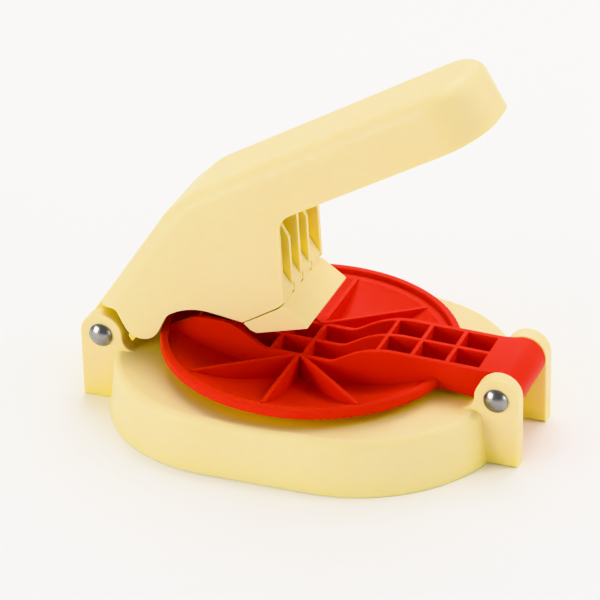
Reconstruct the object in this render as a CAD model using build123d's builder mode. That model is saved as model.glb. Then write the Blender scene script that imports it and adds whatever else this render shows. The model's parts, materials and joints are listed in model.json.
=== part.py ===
from build123d import *
from math import acos, asin, atan2, cos, degrees, hypot, radians, sin
import os

os.makedirs("parts", exist_ok=True)

# Frame: X runs along the press, from the lever's hinge on the left to the plate's hinge on
# the right, Y away from the viewer, Z up. The origin is on the table, under the middle.

# Press plate: its round rim sizes the whole press
plate_radius = 75.0
plate_centre_x = -1.5
plate_raise = 2.0
rim_above_deck = 2.3
rim_depth = 5.2
rim_width = 4.0
rim_draft = 0.5
rim_edge_radius = 1.4
ledge_width = 4.6
ledge_below_rim = 2.8
dish_depth = 10.5
dish_flat_radius = 22.0
dish_thickness = 2.5
arm_half_width = 18.0
arm_wall = 2.5
arm_middle_rib = 2.2
arm_floor = 2.6
arm_above_rim = 9.0
arm_start_inset = 1.0
arm_start_drop = 1.2
hump_above_rim = 8.2
hump_left = -55.7
hump_left_radius = 16.0
hump_right = -37.2
hump_right_radius = 20.0
saddle_below_rim = 2.8
saddle_left = -19.5
saddle_right = 15.5
saddle_radius = 8.0
arm_crest = 35.3
arm_crest_radius = 45.0
arm_end_radius = 30.0
arm_underside_slope = 220.0
cross_rib_thickness = 2.0
cross_rib_places = (-55.0, -37.0, -16.5, 0.3, 38.8, 56.5, 74.2)
lattice_end_to_hinge = 12.8
spoke_thickness = 2.0
spoke_above_ledge = 0.6
spoke_angles = (50, 90, 130)

# Hinges: a pin through two ears of the base and the barrel between them
rim_to_hinge = 28.5
hinge_above_deck = 7.2
pin_radius = 3.0
ear_bore_clearance = 0.05
barrel_bore_clearance = 0.08
barrel_radius = 10.6
barrel_length = 37.0
barrel_side_gap = 0.5
barrel_end_gap = 1.5

# Hinge caps
cap_radius = 6.1
cap_rim_height = 0.9
cap_dome_height = 3.5
cap_socket_depth = 2.5
cap_socket_clearance = 0.02

# Base
base_side_margin = 7.0
base_end_margin = 27.0
base_corner_centre_y = 8.0
deck_height = 28.3
base_taper = 6.85
deck_edge_radius = 4.0
base_wall = 2.6
well_gap = 0.8
well_edge_radius = 1.2
base_rib_thickness = 2.0
base_rib_pitch = 23.0
base_rib_foot_gap = 2.0
ear_thickness = 8.5
ear_radius = 11.25
ear_root_radius = 7.0
ear_edge_radius = 0.8

# Lever, drawn raised as it stands, with lengths and slopes from its hinge
lever_raise = 11.5
lever_half_width = 27.5
lever_wall = 2.6
lever_edge_radius = 8.5
lever_rib_thickness = 2.2
lever_rib_spacing = 12.0
spine_length = 77.8
spine_slope = 56.0
spine_top_radius = 16.9
shoulder_length = 19.5
shoulder_slope = 43.6
shoulder_radius = 24.6
handle_length = 157.6
handle_slope = 29.7
handle_end_depth = 28.4
handle_end_slope = -60.3
handle_bottom_slope = 29.3
handle_plan_radius = 22.0
handle_root_radius = 12.0
pillar_from_centre = -5.1
pillar_slope = 92.5
notch_start = 12.4
notch_height = 16.1
notch_reach = 8.6
notch_radius = 3.0
lobe_left = 15.9
lobe_right = 28.5
lobe_bottom = 1.5
lobe_radius = 10.0
lobe_right_top = (36.2, 17.2)
lobe_right_top_radius = 9.0
arch_crown = (49.5, 24.3)
arch_radius = 31.0
rib_start_slope = 24.0
rib_throat = (17.0, 12.0)
rib_lobe_setback = 4.0
rib_arch_clearance = 1.6
rib_front_setback = 0.7
rib_handle_setback = 5.0
rib_bend_height = 63.0
rib_bend_slope = 120.0
web_length = 32.0
web_top = (20.0, 30.0)
web_front = (14.0, 12.0)

# Presser shoe: its points are given pressed down, from the middle of the press and its saddle
press_clearance = 0.5
shoe_side_step = 0.5
shoe_heel = (-18.4, 0.3)
shoe_toe = (11.0, 2.0)
shoe_back_low = (-21.3, 2.0)
shoe_back_top = (-24.1, 5.8)
shoe_seam_corner = (-3.6, 13.1)
shoe_ridge = (-1.0, 14.8)
shoe_edge_radius = 1.5
shoe_toe_radius = 1.0
shoe_wall = 2.6
shoe_seam_gap = 0.8
shoe_seat_gap = 0.3
shoe_upright_height = 4.0
shoe_upright_slope = 87.0
shoe_tab_slope = 122.0
shoe_tab_length = 15.5
shoe_tab_thickness = 2.4
shoe_tab_clearance = 0.3

# Places and sizes worked out from the ones above
hinge_x = plate_radius + rim_to_hinge
ear_inner = barrel_length / 2 + barrel_side_gap
ear_outer = ear_inner + ear_thickness
end_wall_x = hinge_x - barrel_radius - barrel_end_gap
base_half_width = plate_radius + base_side_margin
base_half_length = plate_radius + base_end_margin
base_corner_radius = base_half_width - base_corner_centre_y
hinge_height = deck_height + hinge_above_deck
rim_bottom = deck_height + rim_above_deck
rim_top = rim_bottom + rim_depth
ledge_height = rim_top - ledge_below_rim
dish_floor = ledge_height - dish_depth
arm_top = rim_top + arm_above_rim
hump_top = rim_top + hump_above_rim
saddle_height = rim_top - saddle_below_rim
rim_inner = plate_radius - rim_width
ledge_inner = rim_inner - ledge_width
dish_run = ledge_inner - dish_flat_radius
dish_radius = (dish_run**2 + dish_depth**2) / (2 * dish_depth)
cap_dome = cap_dome_height - cap_rim_height
cap_dome_radius = (cap_dome**2 + cap_radius**2) / (2 * cap_dome)
shoe_half_width = lever_half_width - shoe_side_step


def hinge_bores(radius, length, places):
    """Cut a hole along Y at each hinge place."""
    for place in places:
        with Locations(Location((place, 0, hinge_height), (90, 0, 0))):
            Cylinder(radius, length, mode=Mode.SUBTRACT)


def dish_curve(drop, end_height):
    """Draw the dished floor's section, a distance drop below its top face, up to a height."""
    floor = dish_floor - drop
    radius = dish_radius + drop
    sweep = degrees(acos(1 - (end_height - floor) / radius))
    Line((0, floor), (dish_flat_radius, floor))
    CenterArc((dish_flat_radius, floor + radius), radius, -90, sweep)
    return dish_flat_radius + radius * sin(radians(sweep))


plate_section = Plane(origin=(plate_centre_x, 0, 0), x_dir=(1, 0, 0), z_dir=(0, -1, 0))
plate_axis = Axis((plate_centre_x, 0, 0), (0, 0, 1))


def bowl_below(drop, top):
    """A round solid that fills everything under a curve parallel to the dish, up to a height."""
    with BuildPart(mode=Mode.PRIVATE) as below:
        with BuildSketch(plate_section):
            with BuildLine():
                reach = dish_curve(drop, top)
                Polyline((reach, top), (plate_radius, top), (plate_radius, 0))
                Polyline((plate_radius, 0), (0, 0), (0, dish_floor - drop))
            make_face()
        revolve(axis=plate_axis)
    return below.part


def bowl_above(drop, top):
    """A round solid that fills the bowl over a curve parallel to the dish, up to a height."""
    with BuildPart(mode=Mode.PRIVATE) as above:
        with BuildSketch(plate_section):
            with BuildLine():
                reach = dish_curve(drop, top)
                Polyline((reach, top), (0, top), (0, dish_floor - drop))
            make_face()
        revolve(axis=plate_axis)
    return above.part


def step_from(point, length, slope):
    """The point a length away from another, in a direction given in degrees."""
    return (point[0] + length * cos(radians(slope)), point[1] + length * sin(radians(slope)))


# Press plate: a dished disc with a raised rim, spokes, and a ribbed arm to its hinge
arm_top_path = (
    (plate_centre_x - rim_inner + arm_start_inset, rim_top - arm_start_drop),
    (hump_left, hump_top),
    (hump_right, hump_top),
    (saddle_left, saddle_height),
    (saddle_right, saddle_height),
    (arm_crest, arm_top),
    (hinge_x - barrel_radius, arm_top),
    (hinge_x, hinge_height + barrel_radius),
)
arm_top_radii = (
    hump_left_radius,
    hump_right_radius,
    saddle_radius,
    saddle_radius,
    arm_crest_radius,
    arm_end_radius,
)
arm_bottom_path = (
    (hinge_x, hinge_height),
    step_from((hinge_x, hinge_height), barrel_radius, arm_underside_slope),
    (plate_centre_x + plate_radius, rim_bottom),
    (plate_centre_x + ledge_inner, dish_floor),
    (plate_centre_x - ledge_inner, dish_floor),
)

with BuildPart() as arm_lattice:
    with BuildSketch(Plane.XY):
        for side in (-1, 1):
            with Locations((0, side * (arm_half_width - arm_wall / 2))):
                Rectangle(2 * hinge_x, arm_wall)
        Rectangle(2 * hinge_x, arm_middle_rib)
        for place in cross_rib_places:
            with Locations((place, 0)):
                Rectangle(cross_rib_thickness, 2 * arm_half_width)
        with Locations((hinge_x - lattice_end_to_hinge, 0)):
            Rectangle(lattice_end_to_hinge, 2 * arm_half_width, align=(Align.MIN, Align.CENTER))
    extrude(amount=2 * arm_top)
    with BuildSketch(Plane.XY):
        with Locations((plate_centre_x + rim_inner, 0)):
            Rectangle(rim_to_hinge, 2 * arm_half_width, align=(Align.MIN, Align.CENTER))
    extrude(amount=rim_bottom + arm_floor)

with BuildPart() as arm:
    with BuildSketch(Plane.XZ):
        with BuildLine():
            FilletPolyline(*arm_top_path, radius=arm_top_radii)
            Polyline(arm_top_path[-1], *arm_bottom_path, arm_top_path[0])
        make_face()
    extrude(amount=arm_half_width, both=True)
    add(arm_lattice.part, mode=Mode.INTERSECT)

with BuildPart() as press_plate:
    with BuildSketch(plate_section):
        with BuildLine():
            reach = dish_curve(dish_thickness, rim_bottom)
            FilletPolyline(
                (reach, rim_bottom),
                (plate_radius, rim_bottom),
                (plate_radius, rim_top),
                (rim_inner, rim_top),
                (rim_inner - rim_draft, ledge_height),
                radius=(rim_edge_radius, rim_edge_radius, rim_edge_radius / 2),
            )
            inner = dish_curve(0, ledge_height)
            Line((rim_inner - rim_draft, ledge_height), (inner, ledge_height))
            Line((0, dish_floor), (0, dish_floor - dish_thickness))
        make_face()
    revolve(axis=plate_axis)
    for side in (-1, 1):
        for angle in spoke_angles:
            hub_y = side * (arm_half_width - arm_wall / 2)
            end_x = plate_centre_x + (ledge_inner + 1) * cos(radians(angle))
            end_y = side * (ledge_inner + 1) * sin(radians(angle))
            length = hypot(end_x - plate_centre_x, end_y - hub_y)
            turn = degrees(asin((end_y - hub_y) / length))
            if end_x < plate_centre_x:
                turn = 180 - turn
            with BuildSketch(Plane.XY.offset(dish_floor - dish_thickness)):
                with Locations(Location((plate_centre_x, hub_y, 0), (0, 0, turn))):
                    Rectangle(length, spoke_thickness, align=(Align.MIN, Align.CENTER))
            extrude(amount=dish_depth + dish_thickness + spoke_above_ledge)
    add(arm.part)
    with Locations(Location((hinge_x, 0, hinge_height), (90, 0, 0))):
        Cylinder(barrel_radius, barrel_length)
    add(bowl_below(dish_thickness, rim_bottom), mode=Mode.SUBTRACT)
    hinge_bores(pin_radius + barrel_bore_clearance, barrel_length + 2, (hinge_x,))
press_plate.part = press_plate.part.rotate(Axis((hinge_x, 0, hinge_height), (0, 1, 0)), plate_raise)
press_plate.part.label = "press_plate"
export_step(press_plate.part, "parts/press_plate.step")


def ear_outline(foot):
    """Draw one ear in side view, from its foot over the round top and down its root fillet."""
    outer_x = hinge_x + ear_radius
    root_x = hinge_x - ear_radius
    inner_x = end_wall_x - base_wall
    Polyline((inner_x, foot), (outer_x, foot), (outer_x, hinge_height))
    ThreePointArc((outer_x, hinge_height), (hinge_x, hinge_height + ear_radius), (root_x, hinge_height))
    Line((root_x, hinge_height), (root_x, deck_height + ear_root_radius))
    root_centre = (root_x - ear_root_radius, deck_height + ear_root_radius)
    CenterArc(root_centre, ear_root_radius, 0, -90)
    Polyline((root_x - ear_root_radius, deck_height), (root_x - ear_root_radius, deck_height - 1))
    Polyline((root_x - ear_root_radius, deck_height - 1), (inner_x, deck_height - 1), (inner_x, foot))


# Base: a hollow moulding with a well under the plate, ribs underneath and two pairs of ears
with BuildPart() as ears:
    for side in (-1, 1):
        with BuildSketch(Plane.XZ.offset(-side * (ear_inner + ear_thickness / 2))):
            with BuildLine():
                ear_outline(0)
            make_face()
        extrude(amount=ear_thickness / 2, both=True)
    fillet(ears.edges().filter_by(Plane.XZ).filter_by(lambda e: e.center().X > end_wall_x), ear_edge_radius)
    mirror(about=Plane.YZ)

with BuildPart() as hollow:
    with BuildSketch(Plane.XY.offset(-1)):
        RectangleRounded(
            2 * (base_half_length - base_wall),
            2 * (base_half_width - base_wall),
            base_corner_radius - base_wall,
        )
    extrude(amount=deck_height - base_wall + 1, taper=base_taper)
    with BuildSketch(Plane.XY.offset(-1)):
        for side in (-1, 1):
            with Locations((side * (end_wall_x - base_wall + ear_radius), 0)):
                Rectangle(2 * ear_radius, 2 * ear_outer)
    extrude(amount=deck_height + 1, mode=Mode.SUBTRACT)
    add(bowl_above(dish_thickness + well_gap + base_wall, deck_height), mode=Mode.SUBTRACT)
    rib_count_x = int(2 * end_wall_x // base_rib_pitch)
    rib_count_y = int(2 * base_half_width // base_rib_pitch)
    with BuildSketch(Plane.XY.offset(base_rib_foot_gap)):
        with GridLocations(base_rib_pitch, 0, rib_count_x, 1):
            Rectangle(base_rib_thickness, 2 * base_half_width)
        with GridLocations(0, base_rib_pitch, 1, rib_count_y):
            Rectangle(2 * hinge_x, base_rib_thickness)
    extrude(amount=deck_height, mode=Mode.SUBTRACT)

with BuildPart() as base:
    with BuildSketch(Plane.XY):
        RectangleRounded(2 * base_half_length, 2 * base_half_width, base_corner_radius)
    extrude(amount=deck_height, taper=base_taper)
    fillet(base.edges().group_by(Axis.Z)[-1], deck_edge_radius)
    add(bowl_above(dish_thickness + well_gap, deck_height), mode=Mode.SUBTRACT)
    well_edges = base.edges().filter_by(GeomType.CIRCLE).group_by(Axis.Z)[-1]
    fillet(well_edges.filter_by(lambda e: abs(e.arc_center.X - plate_centre_x) < 0.1), well_edge_radius)
    with BuildSketch(Plane.XY):
        for side in (-1, 1):
            with Locations((side * (end_wall_x + ear_radius), 0)):
                Rectangle(2 * ear_radius, 2 * ear_outer)
    extrude(amount=deck_height, mode=Mode.SUBTRACT)
    add(ears.part)
    add(hollow.part, mode=Mode.SUBTRACT)
    hinge_bores(pin_radius + ear_bore_clearance, 2 * ear_outer + 2, (-hinge_x, hinge_x))
base.part.label = "base"
export_step(base.part, "parts/base.step")


# Hinge pins and their domed caps
for name, place in (("left", -hinge_x), ("right", hinge_x)):
    with BuildPart() as pin:
        with Locations(Location((place, 0, hinge_height), (90, 0, 0))):
            Cylinder(pin_radius, 2 * (ear_outer + cap_socket_depth))
    pin.part.label = name + "_pin"
    export_step(pin.part, "parts/" + pin.part.label + ".step")
    for end, side in (("front", -1), ("rear", 1)):
        cap_centre = (place, side * ear_outer, hinge_height)
        cap_base = Plane(origin=cap_centre, x_dir=(1, 0, 0), z_dir=(0, side, 0))
        with BuildPart(cap_base) as cap:
            with Locations((0, 0, cap_rim_height / 2)):
                Cylinder(cap_radius, cap_rim_height)
            with Locations((0, 0, cap_dome_height - cap_dome_radius)):
                Sphere(cap_dome_radius)
            split(bisect_by=Plane(cap_base.origin, z_dir=cap_base.z_dir), keep=Keep.TOP)
            with BuildSketch(cap_base):
                Circle(cap_radius)
            extrude(amount=cap_dome_height, mode=Mode.INTERSECT)
            with BuildSketch(cap_base):
                Circle(pin_radius + cap_socket_clearance)
            extrude(amount=cap_socket_depth, mode=Mode.SUBTRACT)
        cap.part.label = name + "_" + end + "_cap"
        export_step(cap.part, "parts/" + cap.part.label + ".step")


# Lever: a hollow shell from its barrel up a spine, over a shoulder and along the handle
lever_side = Plane(origin=(-hinge_x, 0, hinge_height), x_dir=(1, 0, 0), z_dir=(0, -1, 0))
edge_tolerance = 0.5


def meeting_point(point, slope, other, other_slope):
    """Where a line through one point meets a line through another, with their slopes in degrees."""
    gap = (other[0] - point[0], other[1] - point[1])
    across = gap[0] * sin(radians(other_slope)) - gap[1] * cos(radians(other_slope))
    return step_from(point, across / sin(radians(other_slope - slope)), slope)


def parallel_path(points, inset):
    """A path to the right of another, whose straight runs lie a distance inset from its runs."""
    runs = []
    for start, end in zip(points, points[1:]):
        slope = degrees(atan2(end[1] - start[1], end[0] - start[0]))
        runs.append((step_from(start, inset, slope - 90), step_from(end, inset, slope - 90), slope))
    path = [runs[0][0]]
    for before, after in zip(runs, runs[1:]):
        path.append(meeting_point(before[0], before[2], after[0], after[2]))
    path.append(runs[-1][1])
    return path


def as_it_stands(point):
    """A point given pressed down, from the press's middle and saddle, moved to where it stands."""
    x = hinge_x + point[0]
    z = saddle_height + press_clearance - hinge_height + point[1]
    turn = radians(lever_raise)
    return (x * cos(turn) - z * sin(turn), x * sin(turn) + z * cos(turn))


barrel_back = step_from((0, 0), barrel_radius, 90 + spine_slope)
spine_top = step_from(barrel_back, spine_length, spine_slope)
handle_start = step_from(spine_top, shoulder_length, shoulder_slope)
handle_tip = step_from(handle_start, handle_length, handle_slope)
handle_end = step_from(handle_tip, handle_end_depth, handle_end_slope)
back_path = (barrel_back, spine_top, handle_start, handle_tip, handle_end)
back_radii = (spine_top_radius, shoulder_radius, 0)
shoe_rim = [as_it_stands(point) for point in (shoe_ridge, shoe_seam_corner, shoe_back_top)]
shoe_rim_slope = degrees(atan2(shoe_rim[0][1] - shoe_rim[1][1], shoe_rim[0][0] - shoe_rim[1][0]))
seam = parallel_path(shoe_rim, shoe_seam_gap)
pillar_foot = meeting_point(seam[1], shoe_rim_slope, (hinge_x + pillar_from_centre, 0), 90)
handle_root = meeting_point(pillar_foot, pillar_slope, handle_end, handle_bottom_slope)
lower_path = (
    handle_root,
    pillar_foot,
    seam[1],
    seam[2],
    arch_crown,
    lobe_right_top,
    (lobe_right, lobe_bottom),
    (lobe_left, lobe_bottom),
    (notch_reach, notch_height),
)
lower_radii = (
    handle_root_radius,
    0,
    0,
    0,
    arch_radius,
    lobe_right_top_radius,
    lobe_radius,
    lobe_radius,
    notch_radius,
)
web_path = (barrel_back, step_from(barrel_back, web_length, spine_slope), web_top, web_front, (0, 0))
rib_front = step_from(pillar_foot, rib_front_setback, pillar_slope + 90)
rib_handle_end = step_from(handle_end, rib_handle_setback, 90)


def rib_outline(foot_gap, front_points):
    """One rib's lower edge in side view, from the barrel over the shoe and up its front to the tip."""
    foot = parallel_path(shoe_rim, foot_gap)
    return (
        step_from((0, 0), barrel_radius, rib_start_slope),
        rib_throat,
        (lobe_right_top[0] - rib_lobe_setback, rib_throat[1]),
        (lobe_right_top[0], lobe_right_top[1] + rib_lobe_setback),
        (arch_crown[0], arch_crown[1] + rib_arch_clearance),
        (foot[2][0], foot[2][1] + rib_arch_clearance),
        foot[1],
        meeting_point(foot[1], shoe_rim_slope, rib_front, pillar_slope),
        *front_points,
        rib_handle_end,
    )


rib_front_top = meeting_point(rib_front, pillar_slope, rib_handle_end, handle_bottom_slope)
rib_bend = meeting_point(rib_front, pillar_slope, (0, rib_bend_height), 0)
rib_bend_top = meeting_point(rib_bend, rib_bend_slope, rib_handle_end, handle_bottom_slope)
middle_rib = rib_outline(shoe_seam_gap, (rib_front_top,))
side_rib = rib_outline(shoe_seat_gap, (rib_bend, rib_bend_top))


def lies_on(edge, points):
    """Whether an edge of the lever lies along a path drawn in side view, or along a rounded bend of it."""
    x = edge.center().X + hinge_x
    z = edge.center().Z - hinge_height
    distances = []
    for start, end in zip(points, points[1:]):
        run = (end[0] - start[0], end[1] - start[1])
        share = ((x - start[0]) * run[0] + (z - start[1]) * run[1]) / (run[0] ** 2 + run[1] ** 2)
        share = min(1, max(0, share))
        distances.append(hypot(x - start[0] - share * run[0], z - start[1] - share * run[1]))
    return min(distances) < edge_tolerance


def back_block(points, radii, open_points, open_radii, half_width, edge_radius, plan_radius):
    """A block that fills the lever's back outline, with its back edges and its tip rounded."""
    with BuildPart(mode=Mode.PRIVATE) as block:
        with BuildSketch(lever_side):
            with BuildLine():
                FilletPolyline(*points, *open_points, radius=(0, *radii, 0, *open_radii), close=True)
            make_face()
        extrude(amount=half_width, both=True)
        tip = block.edges().filter_by(lambda e: lies_on(e, points[-2:]))
        fillet(tip.filter_by(Axis.Y, reverse=True), plan_radius)
        back = block.edges().filter_by(lambda e: lies_on(e, points[:-1]))
        fillet(back.filter_by(lambda e: abs(e.center().Y) > half_width - edge_tolerance), edge_radius)
    return block.part


lever_block = back_block(
    (step_from(barrel_back, notch_start, spine_slope), *back_path[1:]),
    back_radii,
    lower_path,
    lower_radii,
    lever_half_width,
    lever_edge_radius,
    handle_plan_radius,
)
inner_path = parallel_path(back_path, lever_wall)
inner_radii = [max(radius - lever_wall, 0) for radius in back_radii]
open_side = ((handle_end[0] + lever_wall, -hinge_height), (barrel_back[0], -hinge_height))
lever_hollow = back_block(
    (inner_path[0], *inner_path[1:-1], step_from(inner_path[-1], 3 * lever_wall, handle_end_slope)),
    inner_radii,
    open_side,
    (0, 0),
    lever_half_width - lever_wall,
    lever_edge_radius - lever_wall,
    handle_plan_radius - lever_wall,
)

with BuildPart() as lever_core:
    with BuildSketch(lever_side):
        with BuildLine():
            Polyline(*web_path, close=True)
        make_face()
        Circle(barrel_radius)
    extrude(amount=barrel_length / 2, both=True)
    add(lever_block)

with BuildPart() as lever_ribs:
    for place, rib in ((-lever_rib_spacing, side_rib), (0, middle_rib), (lever_rib_spacing, side_rib)):
        with BuildSketch(lever_side.offset(-place)):
            with BuildLine():
                Polyline(*rib, (handle_end[0], 2 * handle_tip[1]), (-hinge_x, 2 * handle_tip[1]))
                Polyline((-hinge_x, 2 * handle_tip[1]), (-hinge_x, rib[0][1]), rib[0])
            make_face()
        extrude(amount=lever_rib_thickness / 2, both=True)
    add(lever_core.part, mode=Mode.INTERSECT)

with BuildPart() as webs:
    with BuildSketch(lever_side):
        with BuildLine():
            Polyline(*web_path, close=True)
        make_face()
    extrude(amount=barrel_length / 2, both=True)
    with BuildSketch(lever_side):
        with BuildLine():
            web_inside = parallel_path(web_path[:2], lever_wall)
            Polyline(*web_inside, (2 * web_top[0], 0), (0, -hinge_height), close=True)
        make_face()
    extrude(amount=barrel_length / 2 - lever_rib_thickness, both=True, mode=Mode.SUBTRACT)

with BuildPart() as lever:
    add(lever_block)
    add(lever_hollow, mode=Mode.SUBTRACT)
    add(webs.part)
    add(lever_ribs.part)
    with Locations(Location((-hinge_x, 0, hinge_height), (90, 0, 0))):
        Cylinder(barrel_radius, barrel_length)
    hinge_bores(pin_radius + barrel_bore_clearance, barrel_length + 2, (-hinge_x,))
lever.part.label = "lever"
export_step(lever.part, "parts/lever.step")


# Presser shoe: a hollow wedge clipped under the pillar, with four tabs that stand inside it
shoe_outline = (
    shoe_rim[2],
    as_it_stands(shoe_back_low),
    as_it_stands(shoe_heel),
    as_it_stands(shoe_toe),
    shoe_rim[0],
    shoe_rim[1],
)
shoe_radii = (0, shoe_edge_radius, shoe_edge_radius, shoe_toe_radius, 0, 0)
upright_top = step_from(shoe_rim[0], shoe_upright_height, shoe_upright_slope)
tab_top = step_from(upright_top, shoe_tab_length, shoe_tab_slope)
pocket_outline = parallel_path(shoe_outline[:5], -shoe_wall)
tab_outline = (
    shoe_rim[0],
    upright_top,
    tab_top,
    step_from(tab_top, shoe_tab_thickness, shoe_tab_slope + 90),
    step_from(upright_top, shoe_tab_thickness, shoe_tab_slope + 90),
    step_from(shoe_rim[0], 2 * shoe_tab_thickness, shoe_tab_slope + 90),
    pocket_outline[3],
)
bay_inner = lever_rib_thickness / 2 + shoe_tab_clearance
bays = (
    (bay_inner, lever_rib_spacing - bay_inner),
    (lever_rib_spacing + bay_inner, lever_half_width - lever_wall - shoe_tab_clearance),
)

with BuildPart() as press_shoe:
    with BuildSketch(lever_side):
        with BuildLine():
            FilletPolyline(*shoe_outline, radius=shoe_radii, close=True)
        make_face()
    extrude(amount=shoe_half_width, both=True)
    for low, high in bays:
        for side in (-1, 1):
            bay_side = lever_side.offset(side * (low + high) / 2)
            with BuildSketch(bay_side):
                with BuildLine():
                    Polyline(*pocket_outline, tab_top, close=True)
                make_face()
            extrude(amount=(high - low) / 2, both=True, mode=Mode.SUBTRACT)
            with BuildSketch(bay_side):
                with BuildLine():
                    Polyline(*tab_outline, close=True)
                make_face()
            extrude(amount=(high - low) / 2, both=True)
press_shoe.part.label = "press_shoe"
export_step(press_shoe.part, "parts/press_shoe.step")
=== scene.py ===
import json
import math
import bpy
from mathutils import Matrix, Vector

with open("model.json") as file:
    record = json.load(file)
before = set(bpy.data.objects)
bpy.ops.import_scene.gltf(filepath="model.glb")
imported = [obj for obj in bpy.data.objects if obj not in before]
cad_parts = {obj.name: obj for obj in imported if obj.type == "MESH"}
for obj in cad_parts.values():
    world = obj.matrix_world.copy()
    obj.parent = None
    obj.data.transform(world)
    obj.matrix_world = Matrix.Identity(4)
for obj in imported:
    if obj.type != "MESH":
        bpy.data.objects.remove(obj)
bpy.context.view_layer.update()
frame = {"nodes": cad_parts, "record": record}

nodes = frame["nodes"]
slots = {row["node"]: row["material_slot"] for row in frame["record"]["subparts"]}

# Plastics: each one's colour, the deeper shade of its flow marks and the painted shade colour that its
# recesses take (a richer colour standing in for the shade and bounced light there), how rough and how
# glossy it is, how much light enters it and how that light's colours spread
PLASTICS = {
    "cream_plastic": {
        "colour": (0.90, 0.735, 0.375),
        "flow_colour": (0.89, 0.72, 0.355),
        "recess_shade_colour": (0.98, 0.79, 0.015),
        "roughness": 0.42,
        "gloss": 0.5,
        "glow": 0.6,
        "glow_spread": (1.0, 0.85, 0.18),
    },
    "red_plastic": {
        "colour": (0.65, 0.019, 0.002),
        "flow_colour": (0.62, 0.016, 0.0015),
        "recess_shade_colour": (0.62, 0.008, 0.001),
        "roughness": 0.42,
        "gloss": 0.08,
        "glow": 0.3,
        "glow_spread": (1.0, 0.06, 0.02),
    },
}
PLASTIC_IOR = 1.49

# How far light travels inside the plastics, in metres
GLOW_DEPTH = 0.004

# Painted shade in recesses: how far a surface looks for walls, in metres, and the share of open space at
# which it takes all of its painted shade colour and none of it
RECESS_SHADE_REACH = 0.035
RECESS_SHADE_FULL_AT = 0.15
RECESS_SHADE_NONE_AT = 0.65
RECESS_SHADE_SAMPLES = 8

# Flow marks and scuffs in the plastics: features per metre and their finer layers, where the flow
# colours blend, how strong a scuff's finer layers are, and how far it moves the roughness each way
FLOW_SCALE = 22
FLOW_DETAIL = 3
FLOW_STOPS = (0.35, 0.7)
SCUFF_SCALE = 160
SCUFF_DETAIL = 6
SCUFF_GRIT = 0.65
SCUFF_SHINIER = 0.06
SCUFF_DULLER = 0.09

# Moulding grain and broad sink marks: features per metre and their finer layers
GRAIN_SCALE = 2600
GRAIN_DETAIL = 2
SINK_SCALE = 38
SINK_DETAIL = 1

# Metals: each one's colour, how rough it is and how many handling marks it has per metre
METALS = {
    # The cap chrome has a darker colour than bright chrome, as painted shade that dims its reflections
    "cap_chrome": {"colour": (0.32, 0.31, 0.30), "roughness": 0.24, "mark_scale": 900},
    "pin_steel": {"colour": (0.52, 0.52, 0.54), "roughness": 0.28, "mark_scale": 1500},
}

# Handling marks: their finer layers and how strong those are, where their colour blends in, and
# their colour and their least and greatest roughness as multiples of the metal's own
MARK_DETAIL = 5
MARK_GRIT = 0.7
MARK_STOPS = (0.3, 0.7)
MARK_SHADE = 0.9
MARK_SHINIEST = 0.6
MARK_DULLEST = 1.5

# Relief: the strength of each bump and its height in metres
GRAIN_RELIEF = (0.10, 0.0002)
SINK_RELIEF = (0.16, 0.0012)
MARK_RELIEF = (0.08, 0.0001)

# Floor: its colour and its mottle, then its sheet in metres, flat to where it curves up behind the
# press, and a hair below the lower edge of the base
FLOOR_WHITE = (0.965, 0.952, 0.945)
FLOOR_ROUGHNESS = 0.7
MOTTLE_SCALE = 3
MOTTLE_DETAIL = 2
MOTTLE_STOPS = (0.3, 0.7)
MOTTLE_SHADE = 0.99
FLOOR_HALF_WIDTH = 4.0
FLOOR_FRONT = -4.0
FLOOR_BEND_START = 2.2
FLOOR_BEND_RADIUS = 1.0
FLOOR_BEND_STEPS = 16
FLOOR_TOP = 5.0
FLOOR_DROP = 0.0002

# Camera: where it looks from, in degrees and metres, its lens and sensor in millimetres, and how far
# it sees in metres
CAMERA_AZIMUTH = 21.376
CAMERA_ELEVATION = 28.322
CAMERA_ROLL = -1.374
CAMERA_DISTANCE = 1.7
CAMERA_SLIDE_RIGHT = -0.007777
CAMERA_SLIDE_UP = 0.05175
CAMERA_LENS = 203.28
CAMERA_REACH = 20
SENSOR_WIDTH = 36.0

# Studio: its shade, the way it brightens, and its least and greatest strength
STUDIO_SHADE = (0.3, 0.3, 0.3)
STUDIO_SLOPE = (0.0, 0.3, 0.95)
STUDIO_DARK = 0.5
STUDIO_BRIGHT = 0.85

# Softboxes: where each stands, the height of the point it faces, its side in metres and its watts
SOFTBOXES = {
    "top_softbox": {"location": (-0.1, 0.62, 1.2), "aim_height": 0.03, "side": 1.0, "power": 12.5},
    "left_softbox": {"location": (-1.9, -1.9, 0.82), "aim_height": 0.06, "side": 1.3, "power": 34},
    "key_softbox": {"location": (1.3, 0.5, 1.1), "aim_height": 0.08, "side": 0.8, "power": 7.5},
    "right_softbox": {"location": (2.5, -1.5, 0.73), "aim_height": 0.06, "side": 1.15, "power": 10},
}

# Picture: how the light is turned into display colours
VIEW_TRANSFORM = "Khronos PBR Neutral"
EXPOSURE = 0.66


def new_material(name):
    """A node material, with its tree and its Principled shader."""
    mat = bpy.data.materials.new(name)
    mat.use_nodes = True
    return mat, mat.node_tree, mat.node_tree.nodes["Principled BSDF"]


def add_noise(tree, coords, scale, detail, grit=0.5):
    """A noise texture in the object's own space, whose scale counts features per metre."""
    texture = tree.nodes.new("ShaderNodeTexNoise")
    texture.inputs["Scale"].default_value = scale
    texture.inputs["Detail"].default_value = detail
    texture.inputs["Roughness"].default_value = grit
    tree.links.new(coords.outputs["Object"], texture.inputs["Vector"])
    return texture


def add_ramp(tree, source, stops, low_colour, high_colour):
    """Two colours that blend between two stops of a value."""
    ramp = tree.nodes.new("ShaderNodeValToRGB")
    for element, stop, colour in zip(ramp.color_ramp.elements, stops, (low_colour, high_colour)):
        element.position = stop
        element.color = (*colour, 1)
    tree.links.new(source, ramp.inputs["Fac"])
    return ramp


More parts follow.
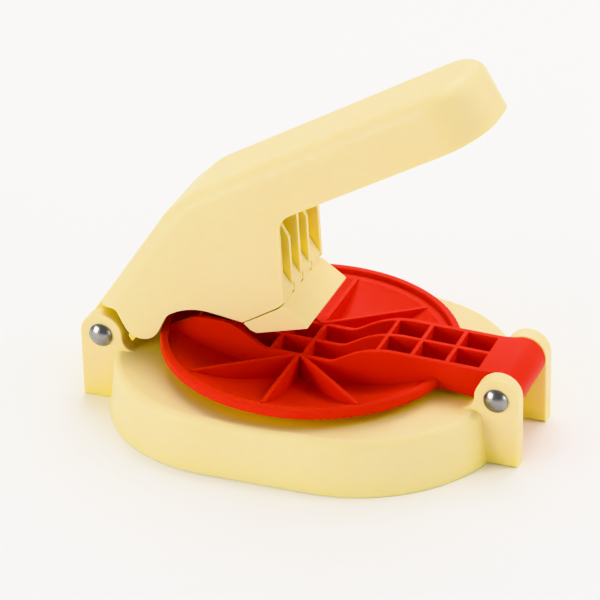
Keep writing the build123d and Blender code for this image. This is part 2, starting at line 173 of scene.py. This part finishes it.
def add_range(tree, source, low, high, source_low=0.0, source_high=1.0):
    """A value moved from its source's range to the range from low to high."""
    mapped = tree.nodes.new("ShaderNodeMapRange")
    mapped.inputs["From Min"].default_value = source_low
    mapped.inputs["From Max"].default_value = source_high
    mapped.inputs["To Min"].default_value = low
    mapped.inputs["To Max"].default_value = high
    tree.links.new(source, mapped.inputs["Value"])
    return mapped


def add_bump(tree, texture, relief):
    """A bump made by a texture, with its strength and its height in metres."""
    bump = tree.nodes.new("ShaderNodeBump")
    strength, height = relief
    bump.inputs["Strength"].default_value = strength
    bump.inputs["Distance"].default_value = height
    tree.links.new(texture.outputs["Fac"], bump.inputs["Height"])
    return bump


def moulded_plastic(name, colour, flow_colour, recess_shade_colour, roughness, gloss, glow, glow_spread):
    """Injection-moulded plastic: faint flow marks, painted shade in its recesses, fine grain and scuffs.
    """
    mat, tree, shader = new_material(name)
    coords = tree.nodes.new("ShaderNodeTexCoord")
    flow = add_noise(tree, coords, FLOW_SCALE, FLOW_DETAIL)
    tint = add_ramp(tree, flow.outputs["Fac"], FLOW_STOPS, flow_colour, colour)

    # Painted shade: where nearby walls close in, the colour turns towards the recess shade colour
    openness = tree.nodes.new("ShaderNodeAmbientOcclusion")
    openness.samples = RECESS_SHADE_SAMPLES
    openness.inputs["Distance"].default_value = RECESS_SHADE_REACH
    shade = add_range(tree, openness.outputs["AO"], 0.0, 1.0, RECESS_SHADE_FULL_AT, RECESS_SHADE_NONE_AT)
    blend = tree.nodes.new("ShaderNodeMix")
    blend.data_type = "RGBA"
    blend.inputs["A"].default_value = (*recess_shade_colour, 1)
    tree.links.new(shade.outputs["Result"], blend.inputs["Factor"])
    tree.links.new(tint.outputs["Color"], blend.inputs["B"])
    tree.links.new(blend.outputs["Result"], shader.inputs["Base Color"])

    scuff = add_noise(tree, coords, SCUFF_SCALE, SCUFF_DETAIL, SCUFF_GRIT)
    shine = add_range(tree, scuff.outputs["Fac"], roughness - SCUFF_SHINIER, roughness + SCUFF_DULLER)
    tree.links.new(shine.outputs["Result"], shader.inputs["Roughness"])

    grain_bump = add_bump(tree, add_noise(tree, coords, GRAIN_SCALE, GRAIN_DETAIL), GRAIN_RELIEF)
    sink_bump = add_bump(tree, add_noise(tree, coords, SINK_SCALE, SINK_DETAIL), SINK_RELIEF)
    tree.links.new(grain_bump.outputs["Normal"], sink_bump.inputs["Normal"])
    tree.links.new(sink_bump.outputs["Normal"], shader.inputs["Normal"])

    shader.inputs["IOR"].default_value = PLASTIC_IOR
    shader.inputs["Specular IOR Level"].default_value = gloss
    shader.inputs["Subsurface Weight"].default_value = glow
    shader.inputs["Subsurface Radius"].default_value = glow_spread
    shader.inputs["Subsurface Scale"].default_value = GLOW_DEPTH
    return mat


def worked_metal(name, colour, roughness, mark_scale):
    """Polished or drawn metal with fine handling marks."""
    mat, tree, shader = new_material(name)
    coords = tree.nodes.new("ShaderNodeTexCoord")
    marks = add_noise(tree, coords, mark_scale, MARK_DETAIL, MARK_GRIT)
    mark_colour = [channel * MARK_SHADE for channel in colour]
    tint = add_ramp(tree, marks.outputs["Fac"], MARK_STOPS, mark_colour, colour)
    tree.links.new(tint.outputs["Color"], shader.inputs["Base Color"])
    shine = add_range(tree, marks.outputs["Fac"], roughness * MARK_SHINIEST, roughness * MARK_DULLEST)
    tree.links.new(shine.outputs["Result"], shader.inputs["Roughness"])
    bump = add_bump(tree, marks, MARK_RELIEF)
    tree.links.new(bump.outputs["Normal"], shader.inputs["Normal"])
    shader.inputs["Metallic"].default_value = 1.0
    return mat


def floor_white():
    """A pale matte surface with a breath of unevenness."""
    mat, tree, shader = new_material("floor_white")
    coords = tree.nodes.new("ShaderNodeTexCoord")
    mottle = add_noise(tree, coords, MOTTLE_SCALE, MOTTLE_DETAIL)
    mottle_colour = [channel * MOTTLE_SHADE for channel in FLOOR_WHITE]
    tint = add_ramp(tree, mottle.outputs["Fac"], MOTTLE_STOPS, mottle_colour, FLOOR_WHITE)
    tree.links.new(tint.outputs["Color"], shader.inputs["Base Color"])
    shader.inputs["Roughness"].default_value = FLOOR_ROUGHNESS
    return mat


def dress_nodes():
    """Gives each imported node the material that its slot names."""
    materials = {name: moulded_plastic(name, **look) for name, look in PLASTICS.items()}
    materials |= {name: worked_metal(name, **look) for name, look in METALS.items()}
    for name, node in nodes.items():
        node.data.materials.clear()
        node.data.materials.append(materials[slots[name]])


def add_floor():
    """A wide flat sheet that curves up behind the press."""
    profile = [(FLOOR_FRONT, 0.0), (FLOOR_BEND_START, 0.0)]
    for step in range(1, FLOOR_BEND_STEPS + 1):
        turn = math.radians(90 * step / FLOOR_BEND_STEPS)
        rise = FLOOR_BEND_RADIUS * (1 - math.cos(turn))
        profile.append((FLOOR_BEND_START + FLOOR_BEND_RADIUS * math.sin(turn), rise))
    profile.append((FLOOR_BEND_START + FLOOR_BEND_RADIUS, FLOOR_TOP))
    verts = [(x, y, z) for y, z in profile for x in (-FLOOR_HALF_WIDTH, FLOOR_HALF_WIDTH)]
    faces = [(2 * i, 2 * i + 1, 2 * i + 3, 2 * i + 2) for i in range(len(profile) - 1)]
    mesh = bpy.data.meshes.new("floor")
    mesh.from_pydata(verts, [], faces)
    for polygon in mesh.polygons:
        polygon.use_smooth = True
    floor = bpy.data.objects.new("floor", mesh)
    floor.location.z = -FLOOR_DROP
    floor.data.materials.append(floor_white())
    bpy.context.scene.collection.objects.link(floor)


def add_camera():
    """The camera stands where the photograph was taken from."""
    azimuth, elevation, roll = (math.radians(a) for a in (CAMERA_AZIMUTH, CAMERA_ELEVATION, CAMERA_ROLL))
    back = Vector((
        math.sin(azimuth) * math.cos(elevation),
        -math.cos(azimuth) * math.cos(elevation),
        math.sin(elevation),
    ))
    level = Vector((math.cos(azimuth), math.sin(azimuth), 0))
    upright = back.cross(level)
    right = math.cos(roll) * level + math.sin(roll) * upright
    up = math.cos(roll) * upright - math.sin(roll) * level
    place = back * CAMERA_DISTANCE + right * CAMERA_SLIDE_RIGHT + up * CAMERA_SLIDE_UP
    data = bpy.data.cameras.new("camera")
    data.sensor_width = SENSOR_WIDTH
    data.lens = CAMERA_LENS
    data.clip_end = CAMERA_REACH
    camera = bpy.data.objects.new("camera", data)
    camera.matrix_world = Matrix.Translation(place) @ Matrix((right, up, back)).transposed().to_4x4()
    bpy.context.scene.collection.objects.link(camera)
    bpy.context.scene.camera = camera


def add_studio():
    """A dim white studio, brighter overhead and behind, and darker below and in front."""
    world = bpy.data.worlds.new("studio")
    world.use_nodes = True
    tree = world.node_tree
    coords = tree.nodes.new("ShaderNodeTexCoord")
    slope = tree.nodes.new("ShaderNodeVectorMath")
    slope.operation = "DOT_PRODUCT"
    slope.inputs[1].default_value = STUDIO_SLOPE
    tree.links.new(coords.outputs["Generated"], slope.inputs[0])
    level = add_range(tree, slope.outputs["Value"], STUDIO_DARK, STUDIO_BRIGHT, source_low=-1.0)
    background = tree.nodes["Background"]
    background.inputs["Color"].default_value = (*STUDIO_SHADE, 1)
    tree.links.new(level.outputs["Result"], background.inputs["Strength"])
    bpy.context.scene.world = world


def add_softbox(name, location, aim_height, side, power):
    """A square softbox that faces a point above the middle of the base."""
    light = bpy.data.lights.new(name, "AREA")
    light.shape = "SQUARE"
    light.size = side
    light.energy = power
    lamp = bpy.data.objects.new(name, light)
    lamp.location = location
    facing = Vector((0, 0, aim_height)) - Vector(location)
    lamp.rotation_euler = facing.to_track_quat("-Z", "Y").to_euler()
    bpy.context.scene.collection.objects.link(lamp)


dress_nodes()
add_floor()
add_camera()
add_studio()
for name, softbox in SOFTBOXES.items():
    add_softbox(name, **softbox)
bpy.context.scene.view_settings.view_transform = VIEW_TRANSFORM
bpy.context.scene.view_settings.exposure = EXPOSURE
